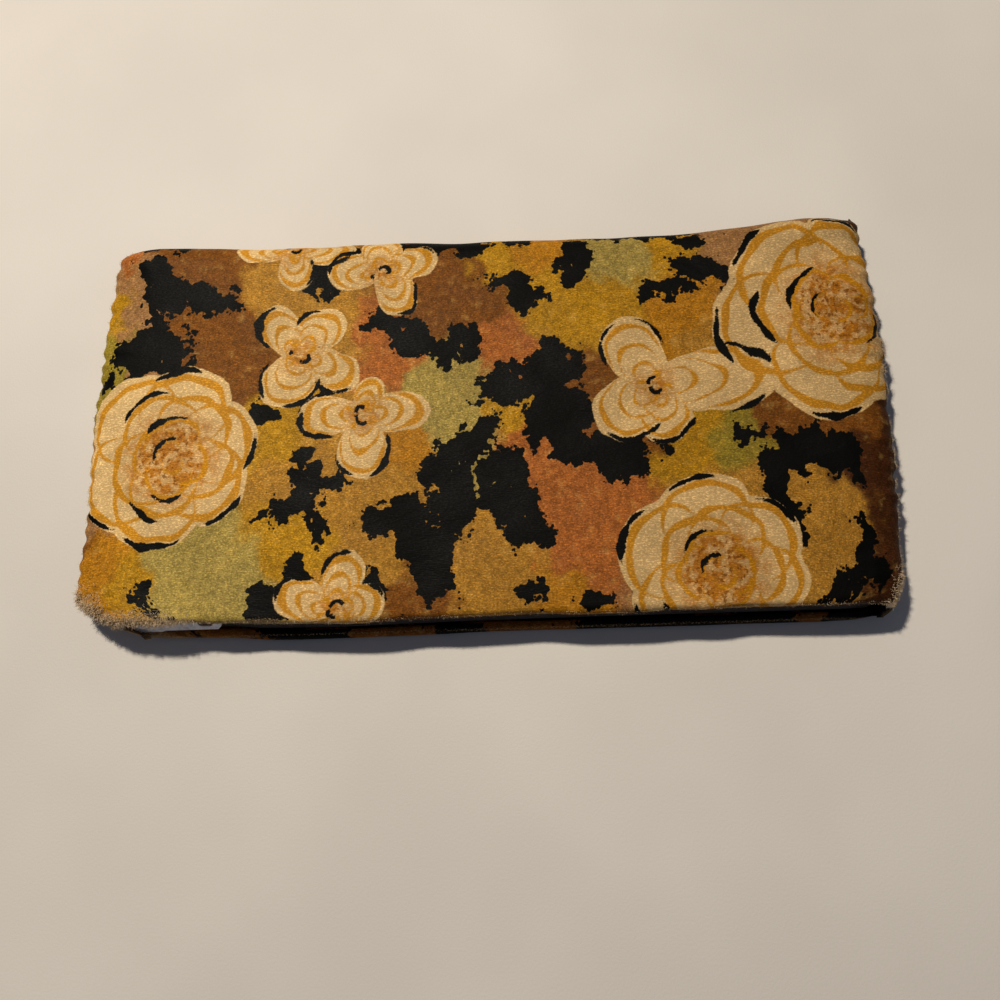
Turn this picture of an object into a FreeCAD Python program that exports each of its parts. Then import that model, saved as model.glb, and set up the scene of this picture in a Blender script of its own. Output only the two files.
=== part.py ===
"""Zippered pouch, lying on its back panel with the zip along the near edge.

Millimetres. X runs along the zip, -Y is the mouth, +Z is up, and the origin is the middle of the
underside. Back parts lie on the table, front parts are the upper panel that lifts when the zip opens.
The zip lies in a plane of its own, tilted about X: there Y runs across the chain towards the front
panel and Z points out of the pouch.
"""
import FreeCAD, Part
import math
import os
import Sketcher

DIMENSIONS = {
    "pouch_width": 204,
    "pouch_depth": 108,
    "pouch_height": 11.5,
    "corner_radius": 6,
    "cover_thickness": 0.6,
    "padding_thickness": 1.2,
    "lining_thickness": 0.4,
    "layer_gap": 0.05,
    "hem_setback": 2.5,
    "hem_overhang": 5,
    "lining_setback": 1.9,
    "fold_open_angle": 15,
    "lip_radius": 1.2,
    "lip_length": 1.9,
    "lip_clearance": 6,
    "zip_tilt": 45,
    "chain_reach": 5.4,
    "chain_lift": 0.3,
    "tape_thickness": 0.5,
    "tape_edge": 1.2,
    "tape_length": 197,
    "front_tape_end": 17,
    "bend_height": 2,
    "tooth_pitch": 2,
    "tooth_width": 0.9,
    "tooth_thickness": 1.4,
    "tooth_reach": 0.5,
    "tooth_grip": 1.7,
    "tooth_count": 84,
    "first_tooth": -84.5,
    "stop_reach": 0.1,
    "stop_width": 1.6,
    "top_stop_place": -88.7,
    "bottom_stop_width": 2.8,
    "bottom_stop_place": 85.6,
    "slider_place": -87.6,
    "slider_length": 9,
    "slider_half_width": 3.1,
    "slider_corner": 1.55,
    "slider_flange": 0.6,
    "slider_plate": 0.7,
    "channel_half": 0.75,
    "tape_slot_half": 0.35,
    "wedge_start": 0.2,
    "wedge_length": 2.6,
    "wedge_half_width": 1.3,
    "bail_start": 2.4,
    "bail_length": 4,
    "bail_bar": 0.8,
    "bail_half_width": 0.7,
    "bail_room": 1.3,
    "bail_top": 0.6,
    "tab_length": 19.5,
    "tab_half_width": 2.1,
    "tab_thickness": 0.8,
    "tab_rim": 0.8,
    "tab_neck": 1.5,
    "tab_chamfer": 0.9,
    "tab_eye_length": 2.6,
    "tab_eye_half_width": 1,
    "tab_hole_length": 4.2,
    "tab_hole_radius": 1.15,
    "tab_hole_place": 14.3,
    "seam_width": 2.5,
    "seam_near_gap": 4,
    "seam_far_gap": 7,
    "seam_clearance": 0.2,
    "stitch_length": 2.3,
    "stitch_pitch": 3.2,
    "stitch_width": 0.4,
    "stitch_height": 0.3,
    "zip_stitch_count": 58,
    "side_stitch_count": 29,
    "front_stitch_place": -41,
    "back_stitch_place": -49.8,
}

X_AXIS = FreeCAD.Vector(1, 0, 0)

# Places worked out from the driving dimensions, as expressions.
HALF_WIDTH = "(dims.pouch_width / 2)"
HALF_DEPTH = "(dims.pouch_depth / 2)"
HINGE_Y = f"({HALF_DEPTH} - dims.pouch_height / 2)"
HINGE_Z = "(dims.pouch_height / 2)"
HEM_Y = f"(-{HALF_DEPTH} + dims.hem_setback)"
LIP_Y = f"(-{HALF_DEPTH} + dims.lip_radius)"
LIP_Z = "dims.lip_radius"
COVER_TOP = "dims.cover_thickness"
PADDING_Z = "(dims.cover_thickness + dims.layer_gap)"
LINING_Z = f"({PADDING_Z} + dims.padding_thickness + dims.layer_gap)"
STACK = f"({LINING_Z} + dims.lining_thickness)"
PADDING_Y = f"(-{HALF_DEPTH} + dims.lip_clearance)"
TILT_SIN = "sin(dims.zip_tilt)"
TILT_COS = "cos(dims.zip_tilt)"
CHAIN_Y = f"({LIP_Y} + dims.chain_reach * {TILT_COS} - dims.chain_lift * {TILT_SIN})"
CHAIN_Z = f"({LIP_Z} + dims.chain_reach * {TILT_SIN} + dims.chain_lift * {TILT_COS})"
HALF_TAPE = "(dims.tape_thickness / 2)"
HALF_TOOTH = "(dims.tooth_thickness / 2)"
PLATE_TOP = "(dims.channel_half + dims.slider_plate)"
TAB_PLACE = "(dims.slider_place + dims.bail_start + dims.bail_length / 2)"
TAB_OUT = f"({PLATE_TOP} + dims.bail_room / 2)"

doc = FreeCAD.newDocument("zippered_pouch")
dims = doc.addObject("Spreadsheet::Sheet", "dims")
for line, (alias, number) in enumerate(DIMENSIONS.items(), 1):
    dims.set(f"A{line}", alias)
    dims.set(f"B{line}", str(number))
    dims.setAlias(f"B{line}", alias)
doc.recompute()

parts = {}


def sub_part(name, feature):
    """Keep a finished feature as the sub-part of this name."""
    feature.Label = name
    parts[name] = feature
    return feature


def bind(feature, **expressions):
    for name, expression in expressions.items():
        feature.setExpression(name, str(expression))
    return feature


def place(feature, x=0, y=0, z=0, turn=None):
    """Put a feature at a place given by expressions, turned about X by an angle in degrees."""
    if turn is not None:
        about_x = FreeCAD.Rotation(X_AXIS, DIMENSIONS["zip_tilt"])
        feature.Placement = FreeCAD.Placement(FreeCAD.Vector(), about_x)
        feature.setExpression("Placement.Rotation.Angle", f"({turn}) * 1 deg")
    for axis, expression in (("x", x), ("y", y), ("z", z)):
        feature.setExpression(f"Placement.Base.{axis}", str(expression))
    return feature


def put_on_zip(feature, x):
    """Place a feature in the zip's plane, with its origin on the chain's middle line."""
    return place(feature, x, CHAIN_Y, CHAIN_Z, turn="dims.zip_tilt")


def box(name, length, width, height):
    return bind(doc.addObject("Part::Box", name), Length=length, Width=width, Height=height)


def body(name):
    return doc.addObject("PartDesign::Body", name)


def origin_feature(owner, role):
    return next(f for f in owner.Origin.OriginFeatures if f.Role == role)


def new_sketch(owner, name, plane):
    sketch = owner.newObject("Sketcher::SketchObject", name)
    sketch.AttachmentSupport = [(origin_feature(owner, plane), "")]
    sketch.MapMode = "FlatFace"
    return sketch


def fix_point(sketch, geometry, end, across, up):
    """Hold a point of a sketch at a place given by two expressions."""
    for kind, expression in (("DistanceX", across), ("DistanceY", up)):
        number = float(sketch.evalExpression(str(expression)))
        at = sketch.addConstraint(Sketcher.Constraint(kind, -1, 1, geometry, end, number))
        sketch.setExpression(f"Constraints[{at}]", str(expression))


def outline(owner, name, plane, corners):
    """A closed sketch with straight sides, each corner a pair of expressions."""
    sketch = new_sketch(owner, name, plane)
    points = [
        FreeCAD.Vector(*(float(sketch.evalExpression(str(e))) for e in corner), 0)
        for corner in corners
    ]
    count = len(points)
    for n in range(count):
        sketch.addGeometry(Part.LineSegment(points[n], points[(n + 1) % count]))
    for n in range(count):
        sketch.addConstraint(Sketcher.Constraint("Coincident", n, 2, (n + 1) % count, 1))
    for n, corner in enumerate(corners):
        fix_point(sketch, n, 1, *corner)
    return sketch


def slot(owner, name, plane, start, end, radius):
    """A closed sketch of a round-ended slot between two centres on the plane's first axis."""
    sketch = new_sketch(owner, name, plane)
    first, last, r = (float(sketch.evalExpression(e)) for e in (start, end, radius))
    up = FreeCAD.Vector(0, 0, 1)
    left = Part.Circle(FreeCAD.Vector(first, 0, 0), up, r)
    right = Part.Circle(FreeCAD.Vector(last, 0, 0), up, r)
    quarter = math.pi / 2
    sketch.addGeometry(Part.ArcOfCircle(left, quarter, 3 * quarter))
    sketch.addGeometry(Part.ArcOfCircle(right, -quarter, quarter))
    sketch.addGeometry(Part.LineSegment(FreeCAD.Vector(first, r, 0), FreeCAD.Vector(last, r, 0)))
    sketch.addGeometry(Part.LineSegment(FreeCAD.Vector(first, -r, 0), FreeCAD.Vector(last, -r, 0)))
    for arc, arc_end, line, line_end in ((0, 1, 2, 1), (0, 2, 3, 1), (1, 2, 2, 2), (1, 1, 3, 2)):
        sketch.addConstraint(Sketcher.Constraint("Tangent", arc, arc_end, line, line_end))
    sketch.addConstraint(Sketcher.Constraint("Equal", 0, 1))
    at = sketch.addConstraint(Sketcher.Constraint("Radius", 0, r))
    sketch.setExpression(f"Constraints[{at}]", radius)
    fix_point(sketch, 0, 3, start, 0)
    fix_point(sketch, 1, 3, end, 0)
    return sketch


def pad(owner, sketch, length, both_ways=False):
    feature = owner.newObject("PartDesign::Pad", sketch.Name + "_pad")
    feature.Profile = sketch
    if both_ways:
        feature.SideType = "Symmetric"
    bind(feature, Length=length)
    sketch.Visibility = False
    return feature


def pocket(owner, sketch, length):
    """Cut a sketch out of a body, the same way on both sides of the sketch's plane."""
    doc.recompute()
    before = owner.Shape.Volume
    feature = owner.newObject("PartDesign::Pocket", sketch.Name + "_pocket")
    feature.Profile = sketch
    feature.SideType = "Symmetric"
    bind(feature, Length=length)
    doc.recompute()
    if owner.Shape.Volume >= before:
        raise RuntimeError(f"{feature.Name} cuts nothing")
    return feature


def edges_along(shape, axis):
    """Numbers, from 1, of the straight edges of a shape that run along an axis."""
    found = []
    for number, edge in enumerate(shape.Edges, 1):
        if not isinstance(edge.Curve, Part.Line):
            continue
        if abs(abs(edge.tangentAt(edge.FirstParameter).dot(axis)) - 1) < 1e-6:
            found.append(number)
    return found


def row(owner, feature, count, pitch):
    """Repeat a feature along X."""
    pattern = owner.newObject("PartDesign::LinearPattern", feature.Name + "_row")
    pattern.Originals = [feature]
    pattern.Direction = (origin_feature(owner, "X_Axis"), [""])
    bind(pattern, Occurrences=count, Length=f"({count} - 1) * {pitch}")
    owner.Tip = pattern
    return pattern


# The pouch's outline seen from above, as a tall block that the panels are trimmed to.
outline_block = place(
    box("outline_block", "dims.pouch_width", "dims.pouch_depth", "dims.pouch_height"),
    f"-{HALF_WIDTH}",
    f"-{HALF_DEPTH}",
)
doc.recompute()
outline_round = doc.addObject("Part::Fillet", "outline_round")
outline_round.Base = outline_block
outline_round.Edges = [
    (number, DIMENSIONS["corner_radius"], DIMENSIONS["corner_radius"])
    for number in edges_along(outline_block.Shape, FreeCAD.Vector(0, 0, 1))
]


def trimmed(name, feature):
    """The sub-part that is left of a feature inside the pouch's outline."""
    common = doc.addObject("Part::Common", name + "_trimmed")
    common.Base = feature
    common.Tool = outline_round
    return sub_part(name, common)


def layer(name, near_y, low_z, thickness):
    """A flat layer of the full width, from near_y to the far fold."""
    sheet = box(name + "_sheet", "dims.pouch_width", f"{HINGE_Y} - {near_y}", thickness)
    return trimmed(name, place(sheet, f"-{HALF_WIDTH}", near_y, low_z))


def curved_strip(name, centre, radius, first_angle, sweep):
    """A strip of cover bent about an axis along X, its angles in degrees from +Y towards +Z."""
    outer = bind(
        doc.addObject("Part::Cylinder", name + "_outside"),
        Radius=radius,
        Height="dims.pouch_width",
        Angle=f"({sweep}) * 1 deg",
    )
    inner = bind(
        doc.addObject("Part::Cylinder", name + "_inside"),
        Radius=f"{radius} - dims.cover_thickness",
        Height="dims.pouch_width",
    )
    strip = doc.addObject("Part::Cut", name + "_strip")
    strip.Base = outer
    strip.Tool = inner
    lie_along_x = FreeCAD.Rotation(FreeCAD.Vector(0, 1, 0), FreeCAD.Vector(0, 0, 1), X_AXIS, "ZXY")
    turn = FreeCAD.Rotation(X_AXIS, first_angle)
    strip.Placement = FreeCAD.Placement(FreeCAD.Vector(), turn * lie_along_x)
    return bind(
        strip,
        **{
            "Placement.Base.x": f"-{HALF_WIDTH}",
            "Placement.Base.y": centre[0],
            "Placement.Base.z": centre[1],
        },
    )


# Back panel: cover with its far fold and near lip, padding, lining.
layer("back_cover", LIP_Y, 0, "dims.cover_thickness")
layer("back_padding", PADDING_Y, PADDING_Z, "dims.padding_thickness")
layer("back_lining", PADDING_Y, LINING_Z, "dims.lining_thickness")

trimmed(
    "cover_fold",
    curved_strip(
        "cover_fold", (HINGE_Y, HINGE_Z), "dims.pouch_height / 2", -90, "180 - dims.fold_open_angle"
    ),
)

lip_bend = curved_strip(
    "lip_bend", (LIP_Y, LIP_Z), "dims.lip_radius", 180 - DIMENSIONS["zip_tilt"], "90 + dims.zip_tilt"
)
lip_face = place(
    box("lip_face", "dims.pouch_width", "dims.lip_length", "dims.cover_thickness"),
    f"-{HALF_WIDTH}",
    f"{LIP_Y} - (dims.lip_radius - dims.cover_thickness) * {TILT_SIN}",
    f"{LIP_Z} + (dims.lip_radius - dims.cover_thickness) * {TILT_COS}",
    turn="dims.zip_tilt",
)
lip = doc.addObject("Part::Fuse", "lip")
lip.Base = lip_bend
lip.Tool = lip_face
trimmed("cover_lip", lip)


def side_seam(name, side):
    """The turned-in seam allowance that closes one side of the pouch."""
    length = f"{HALF_DEPTH} * 2 - dims.seam_near_gap - dims.seam_far_gap"
    height = f"dims.pouch_height - 2 * {STACK} - dims.layer_gap - dims.seam_clearance"
    strip = box(name + "_strip", "dims.seam_width", length, height)
    low_x = f"-{HALF_WIDTH}" if side < 0 else f"{HALF_WIDTH} - dims.seam_width"
    place(strip, low_x, f"-{HALF_DEPTH} + dims.seam_near_gap", f"{STACK} + dims.layer_gap")
    return trimmed(name, strip)


side_seam("side_seam_left", -1)
side_seam("side_seam_right", 1)

# Front panel: its cover overhangs the zip as a hem.
layer("front_cover", HEM_Y, f"dims.pouch_height - {COVER_TOP}", "dims.cover_thickness")
FRONT_PADDING_Y = f"({HEM_Y} + dims.hem_overhang)"
FRONT_LINING_Y = f"({FRONT_PADDING_Y} + dims.lining_setback)"
layer(
    "front_padding",
    FRONT_PADDING_Y,
    f"dims.pouch_height - {PADDING_Z} - dims.padding_thickness",
    "dims.padding_thickness",
)
layer("front_lining", FRONT_LINING_Y, f"dims.pouch_height - {STACK}", "dims.lining_thickness")


def y_on_tape(z, out):
    """Y of the zip's plane at a height, for a line that lies out of the plane by an offset."""
    return f"({CHAIN_Y} + ({z} - {CHAIN_Z}) / tan(dims.zip_tilt) - ({out}) / {TILT_SIN})"


def zip_point(across, out):
    """Y and Z of a point of the zip's cross-section."""
    return (
        f"({CHAIN_Y} + ({across}) * {TILT_COS} - ({out}) * {TILT_SIN})",
        f"({CHAIN_Z} + ({across}) * {TILT_SIN} + ({out}) * {TILT_COS})",
    )


def tape(name, corners):
    """A woven tape of constant section along the zip."""
    owner = body(name)
    pad(owner, outline(owner, name + "_section", "YZ_Plane", corners), "dims.tape_length", True)
    return sub_part(name, owner)


bend_outside = y_on_tape("dims.bend_height", HALF_TAPE)
bend_inside = f"({bend_outside} + dims.tape_thickness)"
flat_top = f"({PADDING_Z} + dims.tape_thickness)"
flat_end = f"({PADDING_Y} - dims.seam_clearance)"
tape(
    "back_zipper_tape",
    [
        zip_point("-dims.tape_edge", HALF_TAPE),
        (bend_outside, "dims.bend_height"),
        (bend_outside, PADDING_Z),
        (flat_end, PADDING_Z),
        (flat_end, flat_top),
        (bend_inside, flat_top),
        (
            bend_inside,
            f"{CHAIN_Z} + ({bend_inside} - {CHAIN_Y} - {HALF_TAPE} / {TILT_SIN}) * tan(dims.zip_tilt)",
        ),
        zip_point("-dims.tape_edge", f"-{HALF_TAPE}"),
    ],
)

tape_top = f"(dims.pouch_height - {STACK} - dims.layer_gap)"
tape_bottom = f"({tape_top} - dims.tape_thickness)"
tape_end = f"(-{HALF_DEPTH} + dims.front_tape_end)"
tape(
    "front_zipper_tape",
    [
        zip_point("dims.tape_edge", HALF_TAPE),
        zip_point("dims.tape_edge", f"-{HALF_TAPE}"),
        (y_on_tape(tape_bottom, f"-{HALF_TAPE}"), tape_bottom),
        (tape_end, tape_bottom),
        (tape_end, tape_top),
        (y_on_tape(tape_top, HALF_TAPE), tape_top),
    ],
)


def clamped_section(owner, side, reach, grip):
    """Section of a metal piece clamped on a tape's edge: side is 1 for the front tape, -1 for the back."""
    slot_half = f"({HALF_TAPE} + dims.layer_gap)"
    edge = f"{side} * (dims.tape_edge - dims.layer_gap)"
    root = f"{side} * ({grip})"
    tip = f"{side} * -({reach})"
    corners = [
        (tip, f"-{HALF_TOOTH}"),
        (root, f"-{HALF_TOOTH}"),
        (root, f"-{slot_half}"),
        (edge, f"-{slot_half}"),
        (edge, slot_half),
        (root, slot_half),
        (root, HALF_TOOTH),
        (tip, HALF_TOOTH),
    ]
    return outline(owner, owner.Name + "_section", "YZ_Plane", corners)


def teeth(name, side, first_x):
    """A row of teeth clamped on one tape."""
    owner = body(name)
    owner.AllowCompound = True
    section = clamped_section(owner, side, "dims.tooth_reach", "dims.tooth_grip")
    tooth = pad(owner, section, "dims.tooth_width")
    row(owner, tooth, "dims.tooth_count", "dims.tooth_pitch")
    return sub_part(name, put_on_zip(owner, first_x))


teeth("back_teeth", -1, "dims.first_tooth")
teeth("front_teeth", 1, "dims.first_tooth + dims.tooth_pitch / 2")


def stop(name, side, reach, width, middle_x):
    """A stop clamped on one tape's edge."""
    owner = body(name)
    pad(owner, clamped_section(owner, side, reach, "dims.tooth_grip"), width)
    return sub_part(name, put_on_zip(owner, f"{middle_x} - {width} / 2"))


stop("back_top_stop", -1, "-dims.stop_reach", "dims.stop_width", "dims.top_stop_place")
stop("front_top_stop", 1, "-dims.stop_reach", "dims.stop_width", "dims.top_stop_place")
stop(
    "bottom_stop",
    -1,
    "dims.tape_edge - dims.stop_reach",
    "dims.bottom_stop_width",
    "dims.bottom_stop_place",
)


def stitches(name, count, x, y, z, along_y=False):
    """A row of separate stitches, its first one starting at a place."""
    owner = body(name)
    owner.AllowCompound = True
    first = outline(
        owner,
        name + "_plan",
        "XY_Plane",
        [
            (0, 0),
            ("dims.stitch_length", 0),
            ("dims.stitch_length", "dims.stitch_width"),
            (0, "dims.stitch_width"),
        ],
    )
    row(owner, pad(owner, first, "dims.stitch_height"), count, "dims.stitch_pitch")
    if along_y:
        turn = FreeCAD.Rotation(FreeCAD.Vector(0, 1, 0), FreeCAD.Vector(0, 0, 1), X_AXIS, "ZXY")
        owner.Placement = FreeCAD.Placement(FreeCAD.Vector(), turn)
    return sub_part(name, place(owner, x, y, z))


zip_stitches_x = "-((dims.zip_stitch_count - 1) * dims.stitch_pitch + dims.stitch_length) / 2"
stitches(
    "front_stitching",
    "dims.zip_stitch_count",
    zip_stitches_x,
    "dims.front_stitch_place",
    f"{tape_bottom} - dims.stitch_height",
)
stitches(
    "back_stitching", "dims.zip_stitch_count", zip_stitches_x, "dims.back_stitch_place", flat_top
)
side_stitches_y = "-((dims.side_stitch_count - 1) * dims.stitch_pitch + dims.stitch_length) / 2"
stitches(
    "side_stitches_left",
    "dims.side_stitch_count",
    f"-{HALF_WIDTH} + dims.seam_width",
    side_stitches_y,
    HINGE_Z,
    along_y=True,
)
stitches(
    "side_stitches_right",
    "dims.side_stitch_count",
    f"{HALF_WIDTH} - dims.seam_width - dims.stitch_height",
    side_stitches_y,
    HINGE_Z,
    along_y=True,
)

# Slider: two channelled plates joined by the wedge that parts the rows of teeth.
slider = body("slider_body")
wedge = outline(
    slider,
    "wedge_plan",
    "XY_Plane",
    [
        ("dims.wedge_start", "-dims.wedge_half_width"),
        ("dims.wedge_length", 0),
        ("dims.wedge_start", "dims.wedge_half_width"),
    ],
)
pad(slider, wedge, "2 * dims.channel_half + dims.slider_plate", both_ways=True)
inner_edge = "(dims.slider_half_width - dims.slider_flange)"
for side in (1, -1):
    corners = [
        ("-dims.slider_half_width", f"{side} * dims.tape_slot_half"),
        (f"-{inner_edge}", f"{side} * dims.tape_slot_half"),
        (f"-{inner_edge}", f"{side} * dims.channel_half"),
        (inner_edge, f"{side} * dims.channel_half"),
        (inner_edge, f"{side} * dims.tape_slot_half"),
        ("dims.slider_half_width", f"{side} * dims.tape_slot_half"),
        ("dims.slider_half_width", f"{side} * {PLATE_TOP}"),
        ("-dims.slider_half_width", f"{side} * {PLATE_TOP}"),
    ]
    plate_name = "outer_plate" if side > 0 else "inner_plate"
    pad(slider, outline(slider, plate_name, "YZ_Plane", corners), "dims.slider_length")
doc.recompute()
plate_corners = [
    f"Edge{number}"
    for number in edges_along(slider.Shape, FreeCAD.Vector(0, 0, 1))
    if abs(abs(slider.Shape.Edges[number - 1].CenterOfMass.y) - DIMENSIONS["slider_half_width"]) < 0.01
]
plates = slider.Tip
rounding = slider.newObject("PartDesign::Fillet", "plate_rounding")
rounding.Base = (plates, plate_corners)
bind(rounding, Radius="dims.slider_corner")
sub_part("slider_body", put_on_zip(slider, "dims.slider_place"))

# Bail: an arch along the slider that the tab's end bar sits in.
bail = body("slider_bail")
bail_end = "(dims.bail_start + dims.bail_length)"
bail_high = f"({PLATE_TOP} + dims.bail_room + dims.bail_top)"
bail_side = outline(
    bail,
    "bail_side",
    "XZ_Plane",
    [
        ("dims.bail_start", PLATE_TOP),
        ("dims.bail_start + dims.bail_bar", PLATE_TOP),
        ("dims.bail_start + dims.bail_bar", f"{PLATE_TOP} + dims.bail_room"),
        (f"{bail_end} - dims.bail_bar", f"{PLATE_TOP} + dims.bail_room"),
        (f"{bail_end} - dims.bail_bar", PLATE_TOP),
        (bail_end, PLATE_TOP),
        (bail_end, f"{bail_high} - dims.bail_top"),
        (f"{bail_end} - dims.bail_top", bail_high),
        ("dims.bail_start + dims.bail_top", bail_high),
        ("dims.bail_start", f"{bail_high} - dims.bail_top"),
    ],
)
pad(bail, bail_side, "2 * dims.bail_half_width", both_ways=True)
sub_part("slider_bail", put_on_zip(bail, "dims.slider_place"))

# Pull tab: its origin is the middle of the end bar, which turns inside the bail.
tab = body("pull_tab")
inner_end = "(-dims.tab_rim / 2)"
outer_end = f"({inner_end} + dims.tab_length)"
neck_half = "(dims.tab_half_width - dims.tab_rim / 2)"
tab_plan = outline(
    tab,
    "tab_plan",
    "XY_Plane",
    [
        (inner_end, f"-{neck_half}"),
        (f"{inner_end} + dims.tab_neck", "-dims.tab_half_width"),
        (f"{outer_end} - dims.tab_chamfer", "-dims.tab_half_width"),
        (outer_end, "-dims.tab_half_width + dims.tab_chamfer"),
        (outer_end, "dims.tab_half_width - dims.tab_chamfer"),
        (f"{outer_end} - dims.tab_chamfer", "dims.tab_half_width"),
        (f"{inner_end} + dims.tab_neck", "dims.tab_half_width"),
        (inner_end, neck_half),
    ],
)
pad(tab, tab_plan, "dims.tab_thickness", both_ways=True)
eye_start = "(dims.tab_rim / 2)"
eye = outline(
    tab,
    "tab_eye",
    "XY_Plane",
    [
        (eye_start, "-dims.tab_eye_half_width"),
        (f"{eye_start} + dims.tab_eye_length", "-dims.tab_eye_half_width"),
        (f"{eye_start} + dims.tab_eye_length", "dims.tab_eye_half_width"),
        (eye_start, "dims.tab_eye_half_width"),
    ],
)
pocket(tab, eye, "4 * dims.tab_thickness")
hole = slot(
    tab,
    "tab_hole",
    "XY_Plane",
    "dims.tab_hole_place",
    "dims.tab_hole_place + dims.tab_hole_length - 2 * dims.tab_hole_radius",
    "dims.tab_hole_radius",
)
pocket(tab, hole, "4 * dims.tab_thickness")
sub_part(
    "pull_tab",
    place(
        tab,
        TAB_PLACE,
        f"{CHAIN_Y} - {TAB_OUT} * {TILT_SIN}",
        f"{CHAIN_Z} + {TAB_OUT} * {TILT_COS}",
        turn="dims.zip_tilt",
    ),
)

doc.recompute()
for feature in doc.Objects:
    if {"Invalid", "Error"} & set(feature.State):
        raise RuntimeError(f"{feature.Label} failed: {feature.State}")
for name, feature in parts.items():
    if feature.Shape.isNull() or not feature.Shape.isValid():
        raise RuntimeError(f"{name} has no valid shape")

os.makedirs("parts", exist_ok=True)
for name, feature in parts.items():
    feature.Shape.exportStep(f"parts/{name}.step")
    bounds = feature.Shape.BoundBox
    print(
        f"{name}: {len(feature.Shape.Solids)} solids, {feature.Shape.Volume:.1f} mm3,",
        f"x {bounds.XMin:.2f} {bounds.XMax:.2f}, y {bounds.YMin:.2f} {bounds.YMax:.2f},",
        f"z {bounds.ZMin:.2f} {bounds.ZMax:.2f}",
    )
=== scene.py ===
from math import cos, pi, radians, sin

import bmesh
import bpy
import numpy as np
from mathutils import Euler, Matrix, Vector


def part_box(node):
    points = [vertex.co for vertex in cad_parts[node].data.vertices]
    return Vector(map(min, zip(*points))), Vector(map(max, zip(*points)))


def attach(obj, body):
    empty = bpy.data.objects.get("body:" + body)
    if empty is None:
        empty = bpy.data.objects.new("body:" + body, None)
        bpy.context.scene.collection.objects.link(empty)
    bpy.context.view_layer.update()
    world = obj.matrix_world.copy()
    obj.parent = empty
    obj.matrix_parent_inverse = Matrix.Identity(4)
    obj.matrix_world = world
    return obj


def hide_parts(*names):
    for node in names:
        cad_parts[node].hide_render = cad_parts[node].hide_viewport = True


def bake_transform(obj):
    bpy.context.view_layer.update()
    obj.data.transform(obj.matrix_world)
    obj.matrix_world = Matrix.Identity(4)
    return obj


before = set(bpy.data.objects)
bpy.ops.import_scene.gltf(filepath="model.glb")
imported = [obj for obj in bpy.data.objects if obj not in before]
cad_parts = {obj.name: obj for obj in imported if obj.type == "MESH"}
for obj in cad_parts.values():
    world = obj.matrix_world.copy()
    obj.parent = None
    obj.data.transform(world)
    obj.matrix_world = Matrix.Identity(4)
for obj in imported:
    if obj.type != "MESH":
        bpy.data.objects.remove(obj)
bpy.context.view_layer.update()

MM = 0.001

# -------------------- sizes, in millimetres

front_low, front_high = (np.array(corner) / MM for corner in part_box("front_cover"))
HALF_WIDTH = front_high[0]
TOP = front_high[2]
MIDDLE = TOP / 2
FOLD_Y = front_high[1]  # where the covers start to turn over the far fold
HEM_Y = front_low[1]
QUILT = 1.8  # thickness of a cover with its batting
HEM_ROLL = 1.43  # radius of the hem's rolled edge
SIDE_ROLL = 5.5  # radius of the roll down to a side seam
SIDE_TURN = 2.0  # how far round that roll a cover goes, in radians
SEAM_GAP = 0.12  # half of what is left between the covers at a side seam
SQUASH_AT_SEAM = 0.15  # share of the pouch's depth that is left there
FOLD_OVERLAP = 1.5  # degrees by which each cover stops short of the far fold's middle
LOWEST = 0.02  # clearance of the lowest cloth above the table

# -------------------- numbers that repeat


def step(edge0, edge1, x):
    t = np.clip((x - edge0) / (edge1 - edge0), 0, 1)
    return t * t * (3 - 2 * t)


def waves(x, y, longest, shortest, seed, count=22):
    """Smooth random hills with a spread of about one."""
    rng = np.random.default_rng(seed)
    total = np.zeros(np.broadcast(x, y).shape)
    for _ in range(count):
        length = np.exp(rng.uniform(np.log(shortest), np.log(longest)))
        turn, phase = rng.uniform(0, 2 * pi, 2)
        total += np.cos(2 * pi * (x * cos(turn) + y * sin(turn)) / length + phase)
    return total / np.sqrt(count / 2)


def along(runs):
    """A section's points from its runs: ("line", start, end) or ("arc", centre, radius, from, to)."""
    out = []
    for run in runs:
        if run[0] == "line":
            t = np.linspace(0, 1, 200)[:, None]
            out.append(np.array(run[1]) * (1 - t) + np.array(run[2]) * t)
        else:
            angle = np.radians(np.linspace(run[3], run[4], 120))
            out.append(np.array(run[1]) + run[2] * np.stack([np.cos(angle), np.sin(angle)], 1))
    line = np.concatenate(out)
    keep = np.r_[True, np.linalg.norm(np.diff(line, axis=0), axis=1) > 1e-6]
    line = line[keep]
    length = np.r_[0, np.cumsum(np.linalg.norm(np.diff(line, axis=0), axis=1))]
    return line, length


def section(runs, at):
    line, length = along(runs)
    return np.interp(at, length, line[:, 0]), np.interp(at, length, line[:, 1])


def run_length(runs):
    return along(runs)[1][-1]


# -------------------- meshes


def make_object(name, points, faces, smooth=True):
    mesh = bpy.data.meshes.new(name)
    mesh.from_pydata((np.asarray(points) * MM).tolist(), [], faces)
    mesh.validate()
    obj = bpy.data.objects.new(name, mesh)
    bpy.context.scene.collection.objects.link(obj)
    if smooth:
        mesh.polygons.foreach_set("use_smooth", np.ones(len(mesh.polygons), bool))
    return obj


def face_outwards(obj):
    tidy = bmesh.new()
    tidy.from_mesh(obj.data)
    bmesh.ops.recalc_face_normals(tidy, faces=tidy.faces)
    tidy.to_mesh(obj.data)
    tidy.free()


def grid_faces(rows, cols, first=0):
    index = first + np.arange(rows * cols).reshape(rows, cols)
    a, b = index[:-1, :-1].ravel(), index[:-1, 1:].ravel()
    c, d = index[1:, 1:].ravel(), index[1:, :-1].ravel()
    return np.stack([a, b, c, d], 1).tolist()


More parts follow.
